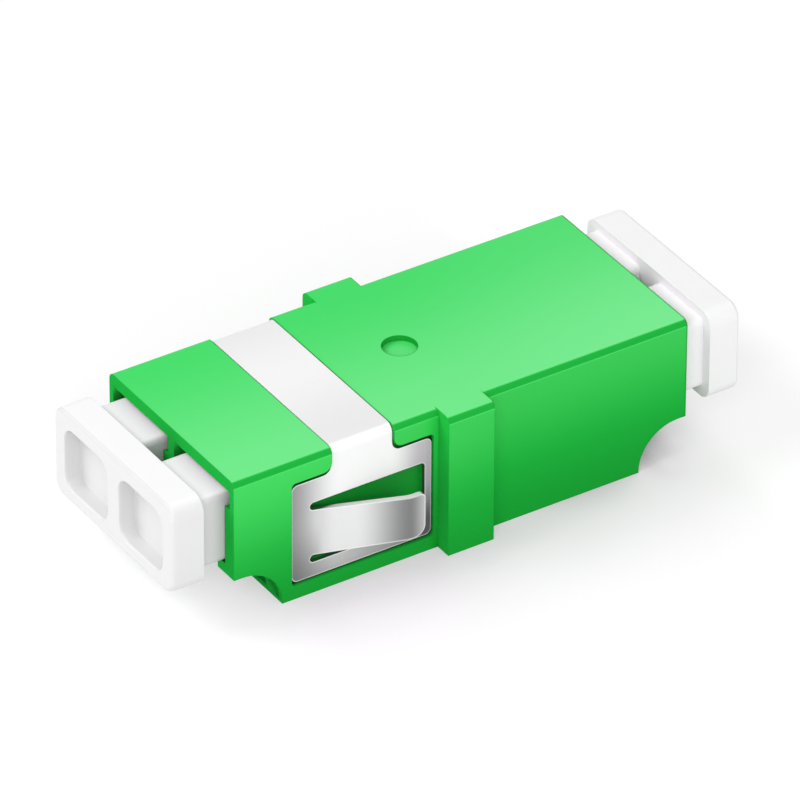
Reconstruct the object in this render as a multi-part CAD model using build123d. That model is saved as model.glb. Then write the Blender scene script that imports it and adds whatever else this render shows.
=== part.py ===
from build123d import *
from math import radians, tan
import os

# Duplex fibre optic adapter with a wrap-round panel clip and two dust caps.
# Lengths are in millimetres. +X runs from the front end, which carries the clip, to the rear end.
# +Y is to the left, seen from the front, and +Z is up. The latch slots of the ports look down.
# The origin is under the middle of the housing, on the surface that it stands on.

# Housing
body_length = 29.25
body_height = 9.0
side_wall = 0.9
top_round = 0.42

# Collar that stops the adapter against the back of a panel
collar_setback = 13.05
collar_thickness = 2.95
collar_stand_out = 1.05

# Ports, two at each end; a drop is measured down from the top face
port_pitch = 6.25
socket_size = 4.65
axis_drop = 3.375
mouth_width = 5.65
mouth_ledge_drop = 1.95
mouth_ceiling_drop = 0.75
mouth_depth = 3.0
latch_width = 3.15
latch_depth = 9.5
latch_floor = 0.3
catch_start = 5.6
catch_length = 3.0
catch_floor = 0.9

# Quarter-round notch under each end, with a moulded hollow in each outer corner
notch_radius = 2.56
notch_offset = 0.5
notch_lift = 0.1
hollow_radius = 0.8
hollow_height = 1.0
hollow_inset = 0.55
hollow_skin = 0.35
hollow_depth = 3.5

# Gate mark in the middle of the top
dimple_diameter = 2.0
dimple_depth = 0.33

# Web across the middle, with a hole for each pair of sleeve holders
web_thickness = 1.8
web_hole_diameter = 3.5

# Seat of the clip in the housing
recess_front = 3.69
recess_rear = 12.76
recess_bottom = 0.85
recess_drop = 1.43
recess_corner = 0.25
strap_front = 6.25
strap_width = 3.97
shoulder_round = 0.55
pocket_depth = 0.2

# Clip, one folded sheet
sheet = 0.3
plate_inset = 0.15
plate_clearance = 0.06
plate_top_clearance = 0.27
plate_foot_clearance = 0.12
strap_clearance = 0.05
plate_corner = 0.4
bend_inside = 0.2
window_margin = 1.17
window_rear_margin = 0.43
window_corner = 0.25
slot_width = 0.48
tongue_width = 2.95
tongue_taper = 0.12
tongue_height = 3.84
tongue_slope = 18.9
tongue_root = 5.15
tongue_knee = 10.25
tongue_tip = 11.2
tongue_bend = 1.2
tongue_upper_corner = 0.3
tongue_lower_corner = 0.7

# Sleeve holders, one from each side of the web in each port
holder_clearance = 0.05
holder_plate = 1.0
holder_corner = 0.3
holder_tube_diameter = 2.9
holder_lip = 0.65
holder_throat_diameter = 1.36
holder_mouth_diameter = 1.9
holder_joint_gap = 0.02

# Split sleeves
sleeve_length = 6.8
sleeve_bore = 1.247
sleeve_wall = 0.1865
sleeve_slit = 0.35
sleeve_clearance = 0.05

# Dust caps
cap_gap = 1.7
flange_thickness = 2.0
flange_inset = 0.25
flange_height = 5.7
flange_corner = 0.7
flange_outer_edge = 0.25
flange_inner_edge = 0.08
cap_pocket_depth = 1.0
cap_pocket_side = 1.0
cap_pocket_rib = 1.0
cap_pocket_top = 0.75
cap_pocket_corner = 0.6
plug_depth = 5.0
plug_clearance = 0.05
plug_corner = 0.4
plug_bore = 3.3
plug_lead_in = 0.3

# Places worked out from the sizes above
half_length = body_length / 2
body_width = port_pitch + socket_size + 2 * side_wall
half_width = body_width / 2
front_face = -half_length
port_side = port_pitch / 2
axis_height = body_height - axis_drop
socket_floor = axis_height - socket_size / 2
recess_top = body_height - recess_drop
plate_outside = half_width - plate_inset
plate_inside = plate_outside - sheet
sleeve_diameter = sleeve_bore + 2 * sleeve_wall
holder_bore = sleeve_diameter + 2 * sleeve_clearance
holder_reach = sleeve_length / 2 + sleeve_clearance + holder_lip
plug_size = socket_size - 2 * plug_clearance


def across(x):
    """Plane square to the length at x, with local x along +Y and local y along +Z."""
    return Plane(origin=(x, 0, 0), x_dir=(0, 1, 0), z_dir=(1, 0, 0))


def side_plane(y):
    """Plane along the side at y, with local x along +X and local y along +Z."""
    return Plane(origin=(0, y, 0), x_dir=(1, 0, 0), z_dir=(0, -1, 0))


def rectangle(low_x, high_x, low_y, high_y):
    """Rectangle between two corners of its own plane."""
    centre = Pos((low_x + high_x) / 2, (low_y + high_y) / 2)
    return centre * Rectangle(high_x - low_x, high_y - low_y)


def rounded(outline, corners, radius):
    """Outline with the listed corners rounded."""
    return fillet([outline.vertices().sort_by_distance(Vector(*corner))[0] for corner in corners], radius)


def block(low_x, high_x, outline):
    """Outline drawn square to the length, carried from low_x to high_x."""
    return extrude(across(low_x) * outline, amount=high_x - low_x)


def slab(low_y, high_y, outline):
    """Outline drawn on the side, carried from high_y down to low_y."""
    return extrude(side_plane(high_y) * outline, amount=high_y - low_y)


def rod(low_x, high_x, diameter, y=0, z=0):
    """Round bar along the length."""
    return block(low_x, high_x, Pos(y, z) * Circle(diameter / 2))


def both_sides(shape):
    """The shape and its mirror image on the other side of the middle."""
    return shape + mirror(shape, about=Plane.XZ)


def both_ends(shape):
    """The shape and its mirror image at the other end."""
    return shape + mirror(shape, about=Plane.YZ)


def arch(width, height, corner):
    """Section of the housing: a rectangle on the ground with its two upper corners rounded."""
    outline = rectangle(-width / 2, width / 2, 0, height)
    return rounded(outline, [(-width / 2, height), (width / 2, height)], corner)


def port():
    """Space of one front port, on the left side."""
    left = port_side - socket_size / 2
    right = port_side + socket_size / 2
    socket_top = axis_height + socket_size / 2
    web_face = -web_thickness / 2
    socket = block(front_face, web_face, rectangle(left, right, socket_floor, socket_top))
    mouth = block(
        front_face,
        front_face + mouth_depth,
        rectangle(
            port_side - mouth_width / 2,
            port_side + mouth_width / 2,
            body_height - mouth_ledge_drop,
            body_height - mouth_ceiling_drop,
        ),
    )
    latch = block(
        front_face,
        front_face + latch_depth,
        rectangle(port_side - latch_width / 2, port_side + latch_width / 2, latch_floor, socket_floor),
    )
    catch = block(
        front_face + catch_start,
        front_face + catch_start + catch_length,
        rectangle(left, right, catch_floor, socket_floor),
    )
    return socket + mouth + latch + catch


def notch():
    """Quarter-round cut under the front end, across the full width."""
    centre = front_face + notch_offset
    reach = half_width + collar_stand_out
    quarter = Pos(centre, notch_lift) * Circle(notch_radius)
    step = rectangle(front_face - notch_radius, centre, 0, notch_lift + notch_radius)
    foot = rectangle(centre, centre + notch_radius, 0, notch_lift)
    below = rectangle(centre - notch_radius, centre + notch_radius, -notch_radius, 0)
    return slab(-reach, reach, quarter + step + foot - below)


def corner_hollow():
    """Moulded hollow that opens into the front notch, low down on the left."""
    centre = half_width - hollow_inset
    hole = Pos(centre, hollow_height) * Circle(hollow_radius)
    skin = rectangle(half_width - hollow_skin, half_width + hollow_radius, 0, body_height)
    return block(front_face, front_face + hollow_depth, hole - skin)


def clip_seat():
    """Space cut into the housing for the clip: a recess on each side and a groove over the top."""
    low = front_face + recess_front
    high = front_face + recess_rear
    strap_low = front_face + strap_front
    strap_high = strap_low + strap_width
    plate = rounded(
        rectangle(low, high, recess_bottom, recess_top),
        [(x, z) for x in (low, high) for z in (recess_bottom, recess_top)],
        recess_corner,
    )
    outline = rounded(
        plate + rectangle(strap_low, strap_high, recess_bottom, body_height),
        [(strap_low, recess_top), (strap_high, recess_top)],
        shoulder_round,
    )
    window = rounded_window(window_space())
    recess = slab(plate_inside, half_width + collar_stand_out, outline)
    pocket = slab(plate_inside - pocket_depth, plate_inside, window)
    groove = block(
        strap_low,
        strap_high,
        rectangle(-half_width, half_width, recess_top, body_height)
        - arch(2 * plate_inside, body_height - sheet, bend_inside + sheet / 2),
    )
    return both_sides(recess + pocket) + groove


def window_space():
    """Low and high corners of the window in the side plate of the clip."""
    low = front_face + recess_front + plate_clearance + window_margin
    high = front_face + recess_rear - plate_clearance - window_rear_margin
    half_height = tongue_width / 2 + slot_width
    return low, high, tongue_height - half_height, tongue_height + half_height


def rounded_window(space):
    """Window outline with rounded corners."""
    low, high, bottom, top = space
    corners = [(x, z) for x in (low, high) for z in (bottom, top)]
    return rounded(rectangle(low, high, bottom, top), corners, window_corner)


def housing():
    """Housing, one moulding with its collar, ports, notches and the seat of the clip."""
    shell = block(front_face, half_length, arch(body_width, body_height, top_round))
    collar_width = body_width + 2 * collar_stand_out
    collar_front = front_face + collar_setback
    shell += block(
        collar_front,
        collar_front + collar_thickness,
        arch(collar_width, body_height, top_round),
    )
    shell -= both_ends(both_sides(port() + corner_hollow()) + notch())
    shell -= both_sides(rod(-web_thickness, web_thickness, web_hole_diameter, port_side, axis_height))
    shell -= clip_seat()
    shell -= Pos(0, 0, body_height - dimple_depth / 2) * Cylinder(dimple_diameter / 2, dimple_depth)
    return shell


def tongue():
    """Spring tongue on the left side plate: a bent strip with rounded corners at its tip."""
    rise = (tongue_knee - tongue_root) * tan(radians(tongue_slope))
    root = front_face + tongue_root
    knee = front_face + tongue_knee
    tip = front_face + tongue_tip
    start = window_space()[0]
    shift = sheet * tan(radians(tongue_slope / 2))
    outside = FilletPolyline(
        (start, plate_outside),
        (root, plate_outside),
        (knee, plate_outside + rise),
        (tip, plate_outside + rise),
        radius=[tongue_bend, tongue_bend + sheet],
    )
    inside = FilletPolyline(
        (start, plate_inside),
        (root + shift, plate_inside),
        (knee + shift, plate_inside + rise),
        (tip, plate_inside + rise),
        radius=[tongue_bend + sheet, tongue_bend],
    )
    ends = [
        Line((start, plate_inside), (start, plate_outside)),
        Line((tip, plate_inside + rise), (tip, plate_outside + rise)),
    ]
    strip = make_face([*outside.edges(), *inside.edges(), *ends])
    bottom = tongue_height - tongue_width / 2
    top = tongue_height + tongue_width / 2
    bent = extrude(Pos(0, 0, bottom) * strip, amount=tongue_width)
    tip_bottom = bottom + tongue_taper
    tip_top = top - tongue_taper
    face = Polygon(
        (start, bottom), (root, bottom), (tip, tip_bottom), (tip, tip_top), (root, top), (start, top), align=None
    )
    face = rounded(face, [(tip, tip_top)], tongue_upper_corner)
    face = rounded(face, [(tip, tip_bottom)], tongue_lower_corner)
    return bent & slab(plate_inside, plate_outside + rise, face)


def side_plate():
    """Side plate of the clip on the left, with the foot of the strap, the window and the tongue."""
    low = front_face + recess_front + plate_clearance
    high = front_face + recess_rear - plate_clearance
    bottom = recess_bottom + plate_foot_clearance
    top = recess_top - plate_top_clearance
    strap_low = front_face + strap_front + strap_clearance
    strap_high = front_face + strap_front + strap_width - strap_clearance
    bend_start = body_height - sheet - bend_inside
    plate = rounded(
        rectangle(low, high, bottom, top),
        [(x, z) for x in (low, high) for z in (bottom, top)],
        plate_corner,
    )
    outline = rounded(
        plate + rectangle(strap_low, strap_high, bottom, bend_start),
        [(strap_low, top), (strap_high, top)],
        shoulder_round,
    )
    window_low, window_high, window_bottom, window_top = window_space()
    slot_end = window_low + slot_width / 2
    opening = rounded(
        rectangle(slot_end, window_high, window_bottom, window_top),
        [(window_high, window_bottom), (window_high, window_top)],
        window_corner,
    )
    for height in (window_bottom + slot_width / 2, window_top - slot_width / 2):
        opening += Pos(slot_end, height) * Circle(slot_width / 2)
    plate = slab(plate_inside, plate_outside, outline - opening)
    return plate + tongue()


def panel_clip():
    """Clip, one folded sheet: a strap over the top, two side plates and their tongues."""
    bend_start = body_height - sheet - bend_inside
    section = arch(2 * plate_outside, body_height, bend_inside + sheet)
    section -= arch(2 * plate_inside, body_height - sheet, bend_inside)
    section -= rectangle(-plate_outside, plate_outside, 0, bend_start)
    strap_low = front_face + strap_front + strap_clearance
    strap = block(strap_low, strap_low + strap_width - 2 * strap_clearance, section)
    return strap + both_sides(side_plate())


def sleeve_holder(side):
    """Front sleeve holder of one port: a square plate on the web, a spigot and a tube."""
    y = side * port_side
    web_face = -web_thickness / 2
    plate_face = web_face - holder_plate
    half_plate = socket_size / 2 - holder_clearance
    outline = rectangle(y - half_plate, y + half_plate, axis_height - half_plate, axis_height + half_plate)
    outline = fillet(outline.vertices(), holder_corner)
    spigot = web_hole_diameter - 2 * holder_clearance
    joint = -holder_joint_gap / 2
    body = block(plate_face, web_face, outline)
    body += rod(web_face, joint, spigot, y, axis_height)
    body += rod(-holder_reach, plate_face, holder_tube_diameter, y, axis_height)
    body -= rod(-holder_reach + holder_lip, joint, holder_bore, y, axis_height)
    funnel = Cone(holder_mouth_diameter / 2, holder_throat_diameter / 2, holder_lip)
    return body - across(-holder_reach + holder_lip / 2) * Pos(y, axis_height) * funnel


def split_sleeve(side):
    """Ceramic sleeve of one port, slit along its top so that it grips both ferrules."""
    y = side * port_side
    half = sleeve_length / 2
    ring = rod(-half, half, sleeve_diameter, y, axis_height)
    ring -= rod(-half, half, sleeve_bore, y, axis_height)
    slit = rectangle(y - sleeve_slit / 2, y + sleeve_slit / 2, axis_height, axis_height + sleeve_diameter)
    return ring - block(-half, half, slit)


def dust_cap():
    """Front dust cap: a flange with two shallow pockets, and a hollow plug for each port."""
    inner_face = front_face - cap_gap
    outer_face = inner_face - flange_thickness
    half_flange = half_width - flange_inset
    low = axis_height - flange_height / 2
    high = axis_height + flange_height / 2
    outline = fillet(rectangle(-half_flange, half_flange, low, high).vertices(), flange_corner)
    flange = block(outer_face, inner_face, outline)
    ends = flange.faces().filter_by(Axis.X).sort_by(Axis.X)
    cap = chamfer(ends[-1].edges(), flange_inner_edge)
    cap = fillet(cap.faces().sort_by(Axis.X)[0].edges(), flange_outer_edge)
    pocket = rectangle(
        cap_pocket_rib / 2,
        half_flange - cap_pocket_side,
        low + cap_pocket_top,
        high - cap_pocket_top,
    )
    pocket = fillet(pocket.vertices(), cap_pocket_corner)
    cap -= both_sides(block(outer_face, outer_face + cap_pocket_depth, pocket))
    half_plug = plug_size / 2
    section = rectangle(
        port_side - half_plug,
        port_side + half_plug,
        axis_height - half_plug,
        axis_height + half_plug,
    )
    section = fillet(section.vertices(), plug_corner)
    plug_tip = front_face + plug_depth
    plug = block(inner_face - flange_inner_edge, plug_tip, section)
    plug = chamfer(plug.faces().sort_by(Axis.X)[-1].edges(), plug_lead_in)
    cap += both_sides(plug)
    bore = rod(inner_face, plug_tip, plug_bore, port_side, axis_height)
    return cap - both_sides(bore)


def write(name, shape):
    """Write one sub-part as parts/NAME.step."""
    solids = shape.solids()
    export_step(solids[0] if len(solids) == 1 else Compound(solids), f"parts/{name}.step")


os.makedirs("parts", exist_ok=True)
write("housing", housing())
write("panel_clip", panel_clip())
for side, side_name in ((1, "left"), (-1, "right")):
    holder = sleeve_holder(side)
    write(f"sleeve_holder_front_{side_name}", holder)
    write(f"sleeve_holder_rear_{side_name}", mirror(holder, about=Plane.YZ))
    write(f"split_sleeve_{side_name}", split_sleeve(side))
cap = dust_cap()
write("dust_cap_front", cap)
write("dust_cap_rear", mirror(cap, about=Plane.YZ))
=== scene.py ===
# %% [markdown]
# # A fibre optic adapter, dressed for its picture
#
# The object is about 37 mm long: a green moulding with two ports at each end, a bright sheet-metal
# clip folded over it, and a white dust cap pushed into each end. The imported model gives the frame:
# every piece at its real size and place, in metres. This notebook adds what a camera sees at arm's
# length: softened edges, the grain of the plastic, the sheen of the steel, the light and the floor.

# %% Load the frame
import bpy
import bmesh
from math import radians
from mathutils import Matrix, Vector


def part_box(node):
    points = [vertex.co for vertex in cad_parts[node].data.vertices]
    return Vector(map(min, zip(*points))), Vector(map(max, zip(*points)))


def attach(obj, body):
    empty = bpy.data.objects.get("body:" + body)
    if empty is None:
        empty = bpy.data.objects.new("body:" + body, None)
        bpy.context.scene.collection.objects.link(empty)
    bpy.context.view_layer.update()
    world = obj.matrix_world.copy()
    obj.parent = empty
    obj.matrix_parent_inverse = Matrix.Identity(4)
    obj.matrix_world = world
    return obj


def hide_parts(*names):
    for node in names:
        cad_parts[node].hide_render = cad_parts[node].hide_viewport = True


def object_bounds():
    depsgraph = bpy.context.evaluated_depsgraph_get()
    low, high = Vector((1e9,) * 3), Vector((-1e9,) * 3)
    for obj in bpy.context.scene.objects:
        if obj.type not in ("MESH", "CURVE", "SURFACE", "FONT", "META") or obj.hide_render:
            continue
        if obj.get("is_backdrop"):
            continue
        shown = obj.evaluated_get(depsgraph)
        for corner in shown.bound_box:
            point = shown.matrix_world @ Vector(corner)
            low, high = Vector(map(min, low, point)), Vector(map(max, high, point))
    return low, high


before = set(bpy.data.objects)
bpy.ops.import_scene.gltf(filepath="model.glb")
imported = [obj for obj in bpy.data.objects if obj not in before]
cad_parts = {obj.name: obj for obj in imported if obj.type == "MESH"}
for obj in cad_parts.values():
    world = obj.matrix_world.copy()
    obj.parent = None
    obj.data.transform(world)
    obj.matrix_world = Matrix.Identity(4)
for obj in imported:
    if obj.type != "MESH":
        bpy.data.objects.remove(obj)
cad_low, cad_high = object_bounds()
print("nodes:", ", ".join(sorted(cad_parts)))
print("box in mm:", [round(1000 * size, 2) for size in cad_high - cad_low])

# %% [markdown]
# ## Working in millimetres
#
# Blender's edit tools compare lengths with small fixed tolerances that are meant for furniture and
# houses. On a piece of a few millimetres, measured in metres, a bevel of 0.1 mm is near those
# tolerances and can go wrong. So each piece is drawn a thousand times larger, with one unit for a
# millimetre, and is shrunk into the frame once it is finished.

# %% Helpers to select, shrink and link
MM = 0.001


def only(piece):
    """Makes one object the selected and active one."""
    bpy.ops.object.select_all(action="DESELECT")
    piece.select_set(True)
    bpy.context.view_layer.objects.active = piece


def pick_edges(test):
    """In edit mode, selects the edges that pass a test, and says how many did."""
    piece = bpy.context.edit_object
    bpy.ops.mesh.select_mode(type="EDGE")
    bpy.ops.mesh.select_all(action="DESELECT")
    mesh = bmesh.from_edit_mesh(piece.data)
    found = [edge for edge in mesh.edges if test(edge)]
    for edge in found:
        edge.select_set(True)
    mesh.select_flush_mode()
    bmesh.update_edit_mesh(piece.data)
    return len(found)


def into_frame(piece):
    """Shrinks a piece drawn in millimetres to metres, with its place kept in its mesh."""
    only(piece)
    piece.scale = (MM, MM, MM)
    bpy.ops.object.transform_apply(location=True, rotation=True, scale=True)


def into_scene(name, data):
    """New object that holds the data, linked into the scene."""
    made = bpy.data.objects.new(name, data)
    bpy.context.scene.collection.objects.link(made)
    return made


# %% Smooth shading and a check of the skin
SMOOTH = radians(40)


def smooth(piece):
    """Smooth shading that is weighted by the size of the faces, so that flat ones look flat."""
    only(piece)
    bpy.ops.object.shade_smooth_by_angle(angle=SMOOTH)
    weigh = piece.modifiers.new("normals", "WEIGHTED_NORMAL")
    weigh.keep_sharp = True
    bpy.ops.object.modifier_apply(modifier=weigh.name)
    return piece


def measure(piece):
    """Says how many faces a piece has, whether its skin is closed, and its volume in cubic mm."""
    mesh = bmesh.new()
    mesh.from_mesh(piece.data)
    gaps = sum(not edge.is_contiguous for edge in mesh.edges)
    volume = round(mesh.calc_volume(), 2)
    print(f"{piece.name} has {len(mesh.faces)} faces, {gaps} open edges and {volume} mm3")
    mesh.free()
    return piece


# %% [markdown]
# ## Dust caps
#
# A dust cap is one soft moulding: a thick flange to grip, two shallow pockets that save material,
# and a hollow square plug for each port. All of these are blocks with rounded corners, so there is
# one helper for such a block. It starts as a flat rectangle whose four corner points are rounded,
# is extruded along the length, and then gets its two rims rounded. Corners come before rims, as
# the larger rounding always does.

# %% Block with rounded corners and rims
CLOSE = 0.01
FULL_WIDTH = (0, 99)
CORNER_STEPS = 8
RIM_STEPS = 4


def near(value, place):
    """True if a length is within a hundredth of a millimetre of a place."""
    return abs(value - place) < CLOSE


def rim_at(place, across):
    """Test for edges in a plane square to the length, between its face and a wall."""
    def test(edge):
        facing = sorted(abs(face.normal.x) for face in edge.link_faces)
        flat = all(near(vertex.co.x, place) for vertex in edge.verts)
        placed = all(across[0] < abs(vertex.co.y) < across[1] for vertex in edge.verts)
        return flat and placed and len(facing) == 2 and facing[0] < 0.5 < facing[1]
    return test


def round_rim(place, radius, steps, across=FULL_WIDTH):
    """Rounds the rim at a place along the length, and says how many edges it had."""
    count = pick_edges(rim_at(place, across))
    bpy.ops.mesh.bevel(offset=radius, segments=steps, affect="EDGES", clamp_overlap=False)
    return count


def rounded_block(name, lengthwise, crosswise, upwards, corner, rims):
    """Block between pairs of places, with one corner radius and a radius for each end's rim."""
    middle = [(first + last) / 2 for first, last in (crosswise, upwards)]
    bpy.ops.object.select_all(action="DESELECT")
    bpy.ops.mesh.primitive_plane_add(
        size=1, location=(lengthwise[0], *middle), rotation=(0, radians(90), 0)
    )
    block = bpy.context.object
    block.name = name
    block.scale = (upwards[1] - upwards[0], crosswise[1] - crosswise[0], 1)
    bpy.ops.object.transform_apply(location=True, rotation=True, scale=True)
    bpy.ops.object.mode_set(mode="EDIT")
    bpy.ops.mesh.select_all(action="SELECT")
    bpy.ops.mesh.bevel(offset=corner, segments=CORNER_STEPS, affect="VERTICES")
    bpy.ops.mesh.extrude_region_move(
        TRANSFORM_OT_translate={"value": (lengthwise[1] - lengthwise[0], 0, 0)}
    )
    bpy.ops.mesh.select_all(action="SELECT")
    bpy.ops.mesh.normals_make_consistent(inside=False)
    for place, radius in zip(lengthwise, rims):
        if radius:
            round_rim(place, radius, RIM_STEPS)
    bpy.ops.object.mode_set(mode="OBJECT")
    return block


# %% [markdown]
# The blocks are then joined and cut with the Boolean modifier. Its exact solver keeps the skin
# closed, and the joined parts overlap a little, because faces that only touch can fail to join.

# %% Joining and cutting
def combine(piece, tool, operation):
    """Joins a tool to a piece, or cuts it away, and then deletes the tool."""
    only(piece)
    boolean = piece.modifiers.new("combine", "BOOLEAN")
    boolean.object = tool
    boolean.operation = operation
    boolean.solver = "EXACT"
    bpy.ops.object.modifier_apply(modifier=boolean.name)
    bpy.data.objects.remove(tool)


# %% Sizes of the cap, in millimetres
PORT_PITCH = 6.25
FLANGE_THICKNESS = 2.0
FLANGE_CORNER = 0.88
FLANGE_RIMS = (0.26, 0.03)
POCKET_DEPTH = 1.0
POCKET_SIDE = 1.05
POCKET_RIB = 1.15
POCKET_ABOVE = 0.9
POCKET_BELOW = 0.8
POCKET_CORNER = 0.95
POCKET_RIM = 0.07
POCKET_RIM_STEPS = 3
PLUG_SIZE = 4.55
PLUG_CORNER = 0.42
PLUG_RIM = 0.28
PLUG_BORE = 3.3
BORE_SIDES = 64
PICK_MARGIN = 0.15
OVERLAP = 0.5

cap_low, cap_high = (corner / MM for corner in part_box("dust_cap_front"))
outer_face = cap_low.x
inner_face = outer_face + FLANGE_THICKNESS
half_flange = cap_high.y
plug_middle = (cap_low.z + cap_high.z) / 2


# %% Flange, pockets, plugs and bores
def both_ways(span, side):
    """Span on the left or the right, from low to high."""
    return sorted(side * place for place in span)


def add_plug(cap, side):
    """Square plug with a round hollow."""
    reach = PLUG_SIZE / 2
    span = [PORT_PITCH / 2 - reach, PORT_PITCH / 2 + reach]
    levels = (plug_middle - reach, plug_middle + reach)
    along = (inner_face - OVERLAP, cap_high.x)
    rims = (0, PLUG_RIM)
    plug = rounded_block("plug", along, both_ways(span, side), levels, PLUG_CORNER, rims)
    combine(cap, plug, "UNION")
    bpy.ops.object.select_all(action="DESELECT")
    bpy.ops.mesh.primitive_cylinder_add(
        vertices=BORE_SIDES,
        radius=PLUG_BORE / 2,
        depth=2 * (cap_high.x - inner_face),
        location=(cap_high.x, side * PORT_PITCH / 2, plug_middle),
        rotation=(0, radians(90), 0),
    )
    combine(cap, bpy.context.object, "DIFFERENCE")


def sink_pocket(cap, side):
    """Shallow pocket with rounded corners."""
    span = [POCKET_RIB / 2, half_flange - POCKET_SIDE]
    levels = (cap_low.z + POCKET_BELOW, cap_high.z - POCKET_ABOVE)
    along = (outer_face - OVERLAP, outer_face + POCKET_DEPTH)
    across = both_ways(span, side)
    pocket = rounded_block("pocket", along, across, levels, POCKET_CORNER, (0, 0))
    combine(cap, pocket, "DIFFERENCE")


front_cap = rounded_block(
    "front_cap_moulding",
    (outer_face, inner_face),
    (-half_flange, half_flange),
    (cap_low.z, cap_high.z),
    FLANGE_CORNER,
    FLANGE_RIMS,
)
for side in (1, -1):
    sink_pocket(front_cap, side)
    add_plug(front_cap, side)
only(front_cap)
bpy.ops.object.mode_set(mode="EDIT")
pockets = (POCKET_RIB / 2 - PICK_MARGIN, half_flange - POCKET_SIDE + PICK_MARGIN)
count = round_rim(outer_face, POCKET_RIM, POCKET_RIM_STEPS, pockets)
print("pocket rims:", count, "edges")
bpy.ops.object.mode_set(mode="OBJECT")


# %% A cap in each end
def turned_copy(piece, name):
    """Copy with its own mesh, turned half round to face the other end."""
    copy = into_scene(name, piece.data.copy())
    copy.data.transform(Matrix.Rotation(radians(180), 4, "Z"))
    return copy


into_frame(measure(smooth(front_cap)))
rear_cap = turned_copy(front_cap, "rear_cap_moulding")
for cap, end in ((front_cap, "front"), (rear_cap, "rear")):
    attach(cap, f"{end}_cap")
    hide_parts(f"dust_cap_{end}")

# %% [markdown]
# ## A short way to write materials
#
# A material is a graph of nodes. Written as Python, a graph reads like a formula: a `Wire` is the
# output of a node, and arithmetic on wires adds Math nodes. Every other node comes from one method
# that takes the node's type, its settings and what goes into its sockets.


# %% Wires and finishes
SAMPLES = 8


def grey(tone):
    """Colour without a hue."""
    return (tone, tone, tone)


class Wire:
    """Output of a node. Python arithmetic on it adds Math nodes."""

    def __init__(self, finish, socket):
        self.finish = finish
        self.socket = socket

    def maths(self, operation, first, second):
        return self.finish.node("Math", {"operation": operation}, {0: first, 1: second})

    def __add__(self, other):
        return self.maths("ADD", self, other)

    def __sub__(self, other):
        return self.maths("SUBTRACT", self, other)

    def __rsub__(self, other):
        return self.maths("SUBTRACT", other, self)

    def __mul__(self, other):
        return self.maths("MULTIPLY", self, other)

    __radd__ = __add__
    __rmul__ = __mul__


class Finish:
    """Material with a Principled shader, whose constants are set on its own sockets."""

    def __init__(self, name, **constants):
        self.material = bpy.data.materials.new(name)
        self.material.use_nodes = True
        self.tree = self.material.node_tree
        self.shader = self.tree.nodes["Principled BSDF"]
        for key, value in constants.items():
            socket = key.replace("_", " ").title().replace("Ior", "IOR")
            self.shader.inputs[socket].default_value = value

    def node(self, kind, settings, inputs, output=0):
        """Adds a node, sets it, fills its sockets with values or wires, and returns one output."""
        made = self.tree.nodes.new("ShaderNode" + kind)
        for key, value in settings.items():
            setattr(made, key, value)
        for key, value in inputs.items():
            if isinstance(value, Wire):
                self.tree.links.new(value.socket, made.inputs[key])
            else:
                made.inputs[key].default_value = value
        return Wire(self, made.outputs[output])

    def place(self):
        """Position on the piece, in millimetres."""
        coordinate = self.node("TexCoord", {}, {}, "Object")
        return self.node("VectorMath", {"operation": "SCALE"}, {0: coordinate, "Scale": 1 / MM})

    def parts_of(self, vector):
        """The x, y and z of a vector."""
        split = self.node("SeparateXYZ", {}, {0: vector})
        return [Wire(self, output) for output in split.socket.node.outputs]

    def facing(self):
        """The x, y and z of the way that a face looks."""
        return self.parts_of(self.node("TexCoord", {}, {}, "Normal"))

    def ramp(self, value, start, end, low=0.0, high=1.0):
        """Value carried smoothly from low to high as it goes from start to end."""
        sockets = {"Value": value, "From Min": start, "From Max": end}
        sockets.update({"To Min": low, "To Max": high})
        return self.node("MapRange", {"interpolation_type": "SMOOTHSTEP"}, sockets)

    def absolute(self, value):
        """Value without its sign."""
        return self.node("Math", {"operation": "ABSOLUTE"}, {0: value})

    def noise(self, vector, scale, detail=2.0):
        """Noise from 0 to 1, with its scale in waves for each millimetre."""
        return self.node("TexNoise", {}, {"Vector": vector, "Scale": scale, "Detail": detail})

    def mix(self, factor, first, second):
        """Colour between two colours, each a wire or a red, a green and a blue."""
        if not isinstance(first, Wire):
            first = (*first, 1)
        if not isinstance(second, Wire):
            second = (*second, 1)
        return self.node("Mix", {"data_type": "RGBA"}, {0: factor, 6: first, 7: second}, 2)

    def give(self, key, wire):
        """Feeds one of the shader's sockets."""
        self.tree.links.new(wire.socket, self.shader.inputs[key])

    def rounded(self, radius):
        """Normal that turns round every edge within a radius in millimetres."""
        return self.node("Bevel", {"samples": SAMPLES}, {"Radius": radius * MM})

    def rim(self, width):
        """One near an edge, and nought further away than a width in millimetres."""
        plain = self.node("NewGeometry", {}, {}, "Normal")
        sockets = {0: self.rounded(width), 1: plain}
        turned = self.node("VectorMath", {"operation": "DOT_PRODUCT"}, sockets, "Value")
        return self.ramp(turned, 0.998, 0.96)

    def openness(self, distance):
        """One on an open face, and near nought in a gap narrower than a distance in millimetres."""
        sockets = {"Distance": distance * MM}
        return self.node("AmbientOcclusion", {"samples": SAMPLES}, sockets, "AO")

    def bump(self, height, distance, normal=None):
        """Feeds the shader's normal from a height, with the distance in millimetres."""
        sockets = {"Height": height, "Distance": distance * MM, "Strength": 1.0}
        if normal is not None:
            sockets["Normal"] = normal
        self.give("Normal", self.node("Bump", {}, sockets))


def dress(piece, finish):
    """Gives a piece one finish all over, and says which."""
    piece.data.materials.clear()
    piece.data.materials.append(finish.material)
    print(piece.name, "wears", finish.material.name, "of", len(finish.tree.nodes), "nodes")


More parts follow.
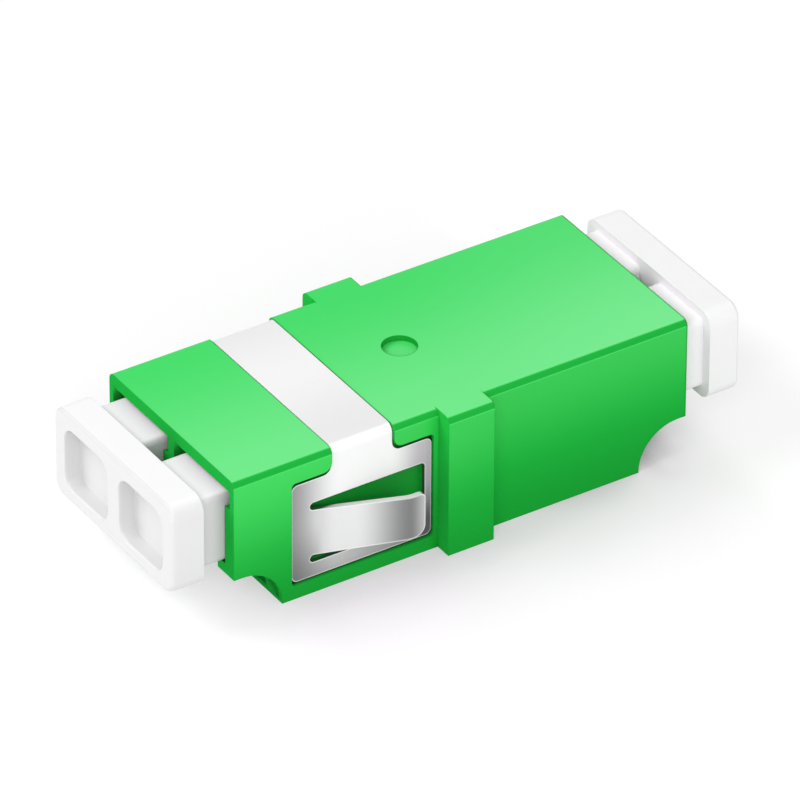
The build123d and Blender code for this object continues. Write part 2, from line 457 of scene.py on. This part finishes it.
# %% [markdown]
# ## Green plastic of the housing
#
# The housing keeps its node: the form is right, and what it lacks is soft edges. A moulded edge has
# a radius of a few hundredths of a millimetre, because no mould is perfectly sharp, and it catches
# a thin line of light. The Bevel node bends the normals near each edge, which gives that line
# without a face more. Where its normal turns away from the face's own there is an edge, so it also
# serves as a mask for painted shade, which deepens the colour on the rims of the top and of the rear
# end.
#
# The Ambient Occlusion node tells how open a place is. With it, painted shade makes the narrow gaps
# round the clip nearly black, while a plain corner between two walls, which is half open, keeps its
# colour.
#
# The mould was finely sparked. The gloss is a clear coat whose weight is highest on the top, faint
# on the upper part of the sides, and nil on the rounded edge between them, which gets a deep green
# band of painted shade. Painted shade also deepens the colour towards the underside, the colour
# deepens towards the rear, and a painted sheen pales the top a little towards the near side and the
# rear.

# %% Green finish
EDGE = 0.08
RIM = 0.16
OUTLINE = 0.09
GAP = 0.9
HALF_WIDTH = 6.35
REAR_END = 14.6
SIDE_AT_REAR = (0.022, 0.6, 0.073)
SIDE_AT_FRONT = (0.038, 0.7, 0.1)
# Painted shade: the lower side and the recess of the clip
SIDE_SHADED_BELOW = (0.0125, 0.385, 0.041)
RECESS_SHADE = (0.01, 0.32, 0.034)
TOP_FAR = (0.021, 0.7, 0.108)
# Painted sheen that pales the top
TOP_SHEEN = (0.158, 0.83, 0.255)
# Painted highlight and painted shade on the rounded edge
PAINTED_GLEAM = (0.07, 0.78, 0.15)
EDGE_BAND_SHADE = (0.016, 0.46, 0.053)
# Painted shade on the end faces, the rims, the wall of the gate mark and the gaps
BODY_END_SHADE = (0.0155, 0.46, 0.055)
COLLAR_END_SHADE = (0.018, 0.53, 0.063)
REAR_RIM_SHADE = (0.007, 0.24, 0.025)
TOP_RIM_SHADE = (0.01, 0.34, 0.035)
MARK_WALL_SHADE = (0.011, 0.36, 0.038)
GAP_SHADE = (0.002, 0.07, 0.008)


def green_plastic():
    """Green moulding with a satin top and painted sheen, and painted shade on its rounded edge, rims
    and gaps.
    """
    finish = Finish("housing_plastic", specular_ior_level=0.0, coat_roughness=0.3, coat_ior=1.75)
    place = finish.place()
    along, across, height = finish.parts_of(place)
    facing = finish.facing()
    off_middle = finish.absolute(across)

    # Where: the top, the rounded edge below it, and the faces at the ends
    upper = finish.ramp(height, 7.6, 8.2)
    top = finish.ramp(facing[2], 0.8, 0.95) * upper
    edge = finish.ramp(facing[2], 0.1, 0.25) * (1 - top)
    end_face = finish.ramp(facing[0] * facing[0], 0.3, 0.8)

    # Sides: painted shade towards the underside and in the recess of the clip; deeper towards the
    # rear
    rising = finish.ramp(height, 0.3, 9.2)
    frontward = finish.ramp(along, -13.0, 4.0, 1.0, 0.0)
    high = finish.mix(frontward, SIDE_AT_REAR, SIDE_AT_FRONT)
    side = finish.mix(rising, SIDE_SHADED_BELOW, high)
    sunk = finish.ramp(off_middle, HALF_WIDTH - 0.25, HALF_WIDTH - 0.4) * (1 - upper)
    side = finish.mix(sunk, side, RECESS_SHADE)

    # Top: a painted sheen, paler towards the near side and the rear
    painted_sheen = finish.ramp(across, 6.5, -6.5, 0.0, 0.8) + finish.ramp(along, 0.0, 14.0, 0.0, 0.2)
    top_with_sheen = finish.mix(painted_sheen, TOP_FAR, TOP_SHEEN)
    body = finish.mix(top, side, top_with_sheen)

    # Rounded edge: a thin painted highlight where it leaves the side, and then a band of painted
    # shade
    painted_gleam = finish.ramp(facing[2], 0.01, 0.06) * finish.ramp(facing[2], 0.2, 0.1)
    body = finish.mix(painted_gleam * 0.7, body, PAINTED_GLEAM)
    body = finish.mix(edge, body, EDGE_BAND_SHADE)

    # Faces at the ends: painted shade, lighter on the collar
    collar = finish.ramp(off_middle, HALF_WIDTH + 0.05, HALF_WIDTH + 0.15)
    ends = finish.mix(collar, BODY_END_SHADE, COLLAR_END_SHADE)
    body = finish.mix(end_face, body, ends)

    # Painted shade on the rims, on the wall of the gate mark, and in the gaps
    rear_rim_shade = finish.rim(RIM) * finish.ramp(along, REAR_END - 0.3, REAR_END - 0.1) * (1 - end_face)
    body = finish.mix(rear_rim_shade, body, REAR_RIM_SHADE)
    outline = finish.rim(OUTLINE)
    body = finish.mix(outline * top * 0.6, body, TOP_RIM_SHADE)
    wall = finish.ramp(height, 8.2, 8.4) * finish.ramp(facing[2], 0.3, 0.1)
    wall = wall * finish.ramp(off_middle, 1.3, 1.2) * finish.ramp(finish.absolute(along), 5.0, 4.5)
    body = finish.mix(wall, body, MARK_WALL_SHADE)
    open_face = finish.ramp(finish.openness(GAP), 0.08, 0.4) * (1 - top) + top
    finish.give("Base Color", finish.mix(open_face, GAP_SHADE, body))

    # Grain and gloss
    grain = finish.noise(place, 9.0, 3.0)
    finish.give("Roughness", 0.45 + grain * 0.1)
    side_gloss = finish.ramp(height, 3.0, 9.0) * (1 - edge) * (1 - end_face) * 0.35
    finish.give("Coat Weight", (top * 0.5 + side_gloss * (1 - top)) * (1 - outline))
    finish.bump(grain, 0.0015, finish.rounded(EDGE))
    return finish


dress(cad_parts["housing"], green_plastic())

# %% [markdown]
# ## Steel of the clip
#
# The clip is blanked from spring strip and folded. The strip has a satin rolled face: a mirror
# blurred by fine lines along the rolling direction. A painted highlight runs round the edges of the
# plates, windows and tongues. The cut faces inside the gaps get a painted reflection of the green
# walls beside them, which is nearly black. Painted reflection also sets the tone elsewhere: it falls
# towards the ends of the plates and along the tongues, rises again where a tongue turns back at its
# tip, and is brighter near the middle of the strap. Next to the collar, a painted touch of the
# opposite tint cancels the green light that the steel picks up.

# %% Steel finish
PLATE_FACE = 6.2
STEEL_EDGE = 0.03
# Painted reflection: the tones of the plate ends, the tongues and the strap
PAINTED_DARK_END = 0.31
TONGUE_ROOT = 0.85
TONGUE_KNEE = 0.19
TONGUE_TIP = 0.38
STRAP_MIDDLE = 0.92
STRAP_EDGE = 0.83
BLACK = grey(0.0)
WHITE = grey(1.0)
# Painted tint against green light, and painted reflection on the cut faces
AGAINST_GREEN = (1.0, 0.85, 1.0)
CUT_FACE_REFLECTION = (0.01, 0.1, 0.02)
FINE_LINES = (0.5, 0.5, 0.52)


def rolled_steel():
    """Satin strip with painted reflections, painted highlights on the rims, and fine lines along the
    strip.
    """
    finish = Finish("clip_steel")
    place = finish.place()
    along, across, height = finish.parts_of(place)
    facing = finish.facing()

    # Plates: painted reflection, darker at both ends and towards the foot
    left = finish.ramp(along, -11.1, -7.7)
    right = finish.ramp(along, -2.6, -4.6)
    far = finish.ramp(height, 1.5, 7.5, 0.14, 0.48)
    plate = PAINTED_DARK_END + left * (right + (1 - right) * far) * (1 - PAINTED_DARK_END)
    plate = plate * finish.ramp(height, 0.6, 4.8, 0.52, 1.0)
    plate = plate * (1 - (1 - right) * finish.ramp(height, 4.6, 2.2) * 0.2)
    plate = plate * (1 - finish.ramp(along, -8.0, -3.5) * finish.ramp(height, 3.4, 2.0) * 0.35)

    # Tongues: where they stand out of the plate, painted reflection, darker at the root and the knee
    stand = finish.ramp(finish.absolute(across), PLATE_FACE + 0.02, PLATE_FACE + 0.2)
    knee = finish.ramp(along, -7.4, -4.3, TONGUE_ROOT, TONGUE_KNEE)
    knee = knee * finish.ramp(along, -10.2, -8.2, 0.55, 1.0)
    tip = finish.ramp(along, -4.4, -3.2, 0.0, TONGUE_TIP)
    tone = plate + (knee + tip - plate) * stand

    # Strap over the top: painted reflection, brighter near its middle than at its edges
    flat = finish.ramp(facing[2], 0.9, 0.99)
    strap = finish.ramp(finish.absolute(across - 1.0), 0.0, 6.0, STRAP_MIDDLE, STRAP_EDGE)
    tone = tone + (strap - tone) * flat

    # Painted highlights on the rims, a painted tint against the green light, and painted reflection
    # on the cut faces
    cut = finish.ramp(finish.absolute(facing[1]), 0.6, 0.3) * (1 - stand)
    cut = cut * finish.ramp(height, 7.9, 7.5)
    rim = finish.rim(RIM) * (1 - flat) * (1 - cut)
    tone = tone + (1.0 - tone) * rim * 0.65
    by_collar = finish.ramp(along, -3.9, -2.3) * (1 - stand) * (1 - flat)
    bright = finish.mix(by_collar, WHITE, AGAINST_GREEN)
    steel = finish.mix(tone, BLACK, bright)
    steel = finish.mix(cut, steel, CUT_FACE_REFLECTION)

    # Rolled lines
    stretched = finish.node("Mapping", {}, {"Vector": place, "Scale": (9.0, 0.5, 0.5)})
    lines = finish.noise(stretched, 2.0, 4.0)
    finish.give("Base Color", finish.mix(lines * 0.12, steel, FINE_LINES))
    finish.give("Metallic", 0.5 - plate * 0.35)
    finish.give("Roughness", 0.5 + lines * 0.1)
    finish.bump(lines, 0.0005, finish.rounded(STEEL_EDGE))
    return finish


dress(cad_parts["panel_clip"], rolled_steel())

# %% [markdown]
# ## White plastics and ceramic
#
# The caps are a soft, slightly clouded plastic. Painted shade lowers its tone a little on the end
# face, on the sides of the flange and the plugs, on the rims that face the lamps, and on the walls
# and floors of the pockets, which reads as depth on a piece that is white on white. White picks up
# the colour of what is near, so the plugs and the inner side of the flanges get a painted tint
# against the green, which keeps them neutral. The tint follows the Ambient Occlusion node: it is
# there only while the housing is close, and goes when a cap is pulled out.
#
# The sleeve holders inside are a harder natural white, and the split sleeves are polished zirconia.

# %% White finishes
CLOUD_LOW = grey(0.92)
CLOUD_HIGH = grey(0.95)
# Painted shade on the end face, the flange sides and the rims that face the lamps
OUTER_FACE = grey(0.83)
FLANGE_LOW = grey(0.76)
FLANGE_HIGH = grey(0.82)
LIT_RIM_SHADE = grey(0.74)
# Painted tint against green light, and painted shade on the plug sides
INNER_FACE = (0.98, 0.87, 0.98)
PLUG_OPEN = (0.96, 0.94, 0.96)
PLUG_CLOSE = (0.97, 0.86, 0.97)
PLUG_SIDE_OPEN = (0.76, 0.75, 0.76)
PLUG_SIDE_CLOSE = (0.66, 0.6, 0.66)
# Painted shade on the pocket walls and floor
POCKET_LEVEL_WALL = grey(0.69)
POCKET_SIDE_WALL = grey(0.75)
POCKET_FLOOR = grey(0.82)
HOUSING_NEAR = 4.0
HOUSING_CLOSE = 1.5


def cap_plastic():
    """Soft white, with painted shade and tint on the flange, the plugs and the pockets."""
    finish = Finish("cap_plastic")
    place = finish.place()
    along, across, height = finish.parts_of(place)
    facing = finish.facing()
    distance = finish.absolute(along)
    endways = finish.ramp(finish.absolute(facing[0]), 0.3, 0.95)
    sideways = finish.ramp(finish.absolute(facing[1]), 0.3, 0.95)
    in_front = finish.ramp(along, 0.0, -1.0)

    # Flange: clouded, with painted shade on the end and the side, and on the rims that face the
    # lamps
    cloud = finish.noise(place, 0.5)
    white = finish.mix(cloud, CLOUD_LOW, CLOUD_HIGH)
    white = finish.mix(endways * in_front, white, OUTER_FACE)
    shade = finish.mix(finish.ramp(height, 1.0, 6.5), FLANGE_LOW, FLANGE_HIGH)
    white = finish.mix(sideways * in_front, white, shade)
    lit = finish.ramp(facing[0] * facing[2] * -1, 0.05, 0.4) * in_front
    white = finish.mix(lit, white, LIT_RIM_SHADE)

    # Inner face of the flange: a painted tint against the green light, while the housing is near
    covered = finish.ramp(finish.openness(HOUSING_NEAR), 0.6, 0.3)
    inner = finish.ramp(facing[0] * along, -3.0, -12.0) * covered
    white = finish.mix(inner, white, INNER_FACE)

    # Plugs: a painted tint against the green light while the housing is close, and painted shade on
    # their sides
    plug = finish.ramp(distance, -inner_face, -inner_face - 0.1)
    close = finish.ramp(finish.openness(HOUSING_CLOSE), 0.97, 0.65) * in_front
    close = close * finish.ramp(distance, 16.6, 15.2)
    plug_tone = finish.mix(close, PLUG_OPEN, PLUG_CLOSE)
    plug_side = finish.mix(close, PLUG_SIDE_OPEN, PLUG_SIDE_CLOSE)
    plug_tone = finish.mix(sideways * in_front, plug_tone, plug_side)
    white = finish.mix(plug, white, plug_tone)

    # Pockets: painted shade on the walls and floor
    sunk = finish.ramp(distance, -outer_face, -outer_face - 0.25)
    pocket_floor = -outer_face - POCKET_DEPTH
    sunk = sunk * finish.ramp(distance, pocket_floor - 0.02, pocket_floor)
    pocket_side = half_flange - POCKET_SIDE
    sunk = sunk * finish.ramp(finish.absolute(across), pocket_side + 0.3, pocket_side + 0.15)
    sunk = sunk * finish.ramp(finish.absolute(height - plug_middle), 2.35, 2.2)
    walls = finish.mix(sideways, POCKET_LEVEL_WALL, POCKET_SIDE_WALL)
    pocket = finish.mix(endways, walls, POCKET_FLOOR)
    finish.give("Base Color", finish.mix(sunk, white, pocket))

    # Grain
    grain = finish.noise(place, 10.0)
    finish.give("Roughness", 0.42 + grain * 0.1)
    finish.bump(grain, 0.001)
    return finish


def holder_plastic():
    """Hard natural white."""
    finish = Finish("holder_plastic")
    place = finish.place()
    cloud = finish.noise(place, 0.8)
    finish.give("Base Color", finish.mix(cloud, (0.74, 0.75, 0.74), (0.8, 0.81, 0.8)))
    finish.give("Roughness", 0.25 + finish.noise(place, 8.0) * 0.1)
    return finish


def zirconia():
    """Polished white ceramic."""
    finish = Finish("sleeve_ceramic", coat_weight=0.4, coat_roughness=0.05)
    place = finish.place()
    cloud = finish.noise(place, 1.5)
    finish.give("Base Color", finish.mix(cloud, (0.84, 0.84, 0.82), (0.9, 0.9, 0.88)))
    finish.give("Roughness", 0.12 + finish.noise(place, 20.0) * 0.06)
    return finish


cap_finish = cap_plastic()
dress(front_cap, cap_finish)
dress(rear_cap, cap_finish)
holder_finish = holder_plastic()
sleeve_finish = zirconia()
for name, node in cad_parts.items():
    if name.startswith("sleeve_holder"):
        dress(node, holder_finish)
    if name.startswith("split_sleeve"):
        dress(node, sleeve_finish)

# %% [markdown]
# ## Floor and backdrop
#
# The scene is set on white with a faint shadow. The floor is a sheet of white paper that bounces
# light as paper does. Rays that the camera or a shiny surface sends out find a greyer paper with a
# white glow added, so that the open floor meets the white backdrop and the shadow stays faint. The
# glow is weaker close to the long sides and under the rear notch, which paints a deeper shadow
# there, and stronger past both ends, which paints light there. Beside the housing the paper gets a
# painted tint against the green light that falls on it, which keeps the shadow neutral.

# %% Floor and world
FLOOR_SIZE = 3.0
PAPER = (0.8, 0.8, 0.8, 1)
GLOW = 0.5
SHOWN = 0.53
LESS_GREEN = 0.83
SHADOW_REACH = 4.0
SKY_LIGHT = 0.5
SKY_SEEN = 1.0


def sees_background(tree):
    """One for camera, glossy and transmission rays, and nought for the rest."""
    path = tree.nodes.new("ShaderNodeLightPath")
    total = path.outputs["Is Camera Ray"]
    for name in ("Is Glossy Ray", "Is Transmission Ray"):
        add = tree.nodes.new("ShaderNodeMath")
        add.use_clamp = True
        tree.links.new(total, add.inputs[0])
        tree.links.new(path.outputs[name], add.inputs[1])
        total = add.outputs[0]
    return total


bpy.ops.object.select_all(action="DESELECT")
bpy.ops.mesh.primitive_plane_add(size=FLOOR_SIZE, location=(0, 0, 0))
floor = bpy.context.object
floor.name = "floor"
floor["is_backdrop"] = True
paper = Finish("floor_paper", roughness=1.0, specular_ior_level=0.0, base_color=PAPER)
along, across, height = paper.parts_of(paper.place())

# Painted tint against the green light beside the housing
beside = paper.ramp(paper.absolute(across), 20.0, 4.0)
beside = beside * paper.ramp(paper.absolute(along), 17.0, 11.0)
tint = paper.mix(beside, grey(SHOWN), (SHOWN, SHOWN * LESS_GREEN, SHOWN))

# Painted shadow where the glow is weak, and painted light where it is strong
# Glow: nought under the rear, weak under the rear notch and beside the middle, strong past the ends
open_floor = paper.openness(SHADOW_REACH)
under = paper.ramp(open_floor, 0.7, 0.1) * paper.ramp(along, 4.0, 8.0)
notch = paper.ramp(along, 11.6, 13.0) * paper.ramp(along, 15.4, 13.6)
under = under + paper.ramp(open_floor, 0.8, 0.38) * notch * (1 - under)
middle = paper.ramp(along, -13.0, -9.0) * paper.ramp(along, 12.5, 8.5)
under = under + paper.ramp(open_floor, 0.97, 0.6) * (1 - under) * middle * 0.2
past_ends = paper.ramp(along, -10.0, -15.0, 0.0, 0.06) + paper.ramp(along, 15.0, 18.0, 0.0, 0.07)

# Plain paper for the light that bounces, and the glowing one for rays that look at it
glow = paper.node("Emission", {}, {"Color": (1 - under) * (past_ends + GLOW), "Strength": 1.0})
shown = paper.node("BsdfDiffuse", {}, {"Color": tint})
brightened = paper.node("AddShader", {}, {0: shown, 1: glow})
plain = Wire(paper, paper.shader.outputs[0])
seen = Wire(paper, sees_background(paper.tree))
blend = paper.node("MixShader", {}, {0: seen, 1: plain, 2: brightened})
paper.tree.links.new(blend.socket, paper.tree.nodes["Material Output"].inputs["Surface"])
dress(floor, paper)

world = bpy.data.worlds.new("backdrop")
bpy.context.scene.world = world
world.use_nodes = True
sky = world.node_tree
background = sky.nodes["Background"]
background.inputs["Color"].default_value = (1, 1, 1, 1)
brightness = sky.nodes.new("ShaderNodeMapRange")
brightness.inputs["To Min"].default_value = SKY_LIGHT
brightness.inputs["To Max"].default_value = SKY_SEEN
sky.links.new(sees_background(sky), brightness.inputs["Value"])
sky.links.new(brightness.outputs[0], background.inputs["Strength"])

# %% [markdown]
# ## Light
#
# Most of the light is the even glow of a white studio. A soft box high behind the far left corner
# throws the faint shadow to the near right. One on the camera's side brightens the end and the
# long side that it sees, and a low one fills that side and hardly touches the floor.


# %% Soft boxes
def soft_box(name, place, size, power):
    """Square area lamp that faces the origin, with its place and size in millimetres."""
    lamp = bpy.data.lights.new(name, "AREA")
    lamp.shape = "SQUARE"
    lamp.size = size * MM
    lamp.energy = power
    box = into_scene(name, lamp)
    box.location = Vector(place) * MM
    box.rotation_mode = "QUATERNION"
    box.rotation_quaternion = (-Vector(place)).to_track_quat("-Z", "Y")
    box.visible_camera = False


soft_box("back_left", (-250, 160, 300), 200, 0.8)
soft_box("camera_side", (-215, -270, 235), 200, 0.5)
soft_box("near_fill", (60, -410, 85), 300, 0.44)

# %% [markdown]
# ## Camera
#
# The picture was taken from far away with a very long lens, so that parallel edges stay nearly
# parallel. The values below put every corner of the frame where it is in the picture.

# %% Camera
AIM = Vector((-1.54, -2.45, 7.40)) * MM
DISTANCE = 564.13 * MM
AZIMUTH = radians(-32.885)
ELEVATION = radians(34.344)
ROLL = radians(0.253)
LENS = 467.82
SENSOR = 36.0

camera_data = bpy.data.cameras.new("camera")
camera_data.lens = LENS
camera_data.sensor_width = SENSOR
camera = into_scene("camera", camera_data)
heading = Matrix.Rotation(AZIMUTH, 4, "Z") @ Matrix.Rotation(radians(90) - ELEVATION, 4, "X")
turn = heading @ Matrix.Rotation(ROLL, 4, "Z")
camera.matrix_world = Matrix.Translation(AIM) @ turn @ Matrix.Translation((0, 0, DISTANCE))
bpy.context.scene.camera = camera
bpy.context.scene.view_settings.view_transform = "Standard"
print("camera at", [round(value / MM, 1) for value in camera.matrix_world.translation])

# %% Sizes before and after dressing
seen_low, seen_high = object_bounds()
growth = (seen_high - seen_low) - (cad_high - cad_low)
print("grown by, in mm:", [round(length / MM, 3) for length in growth])
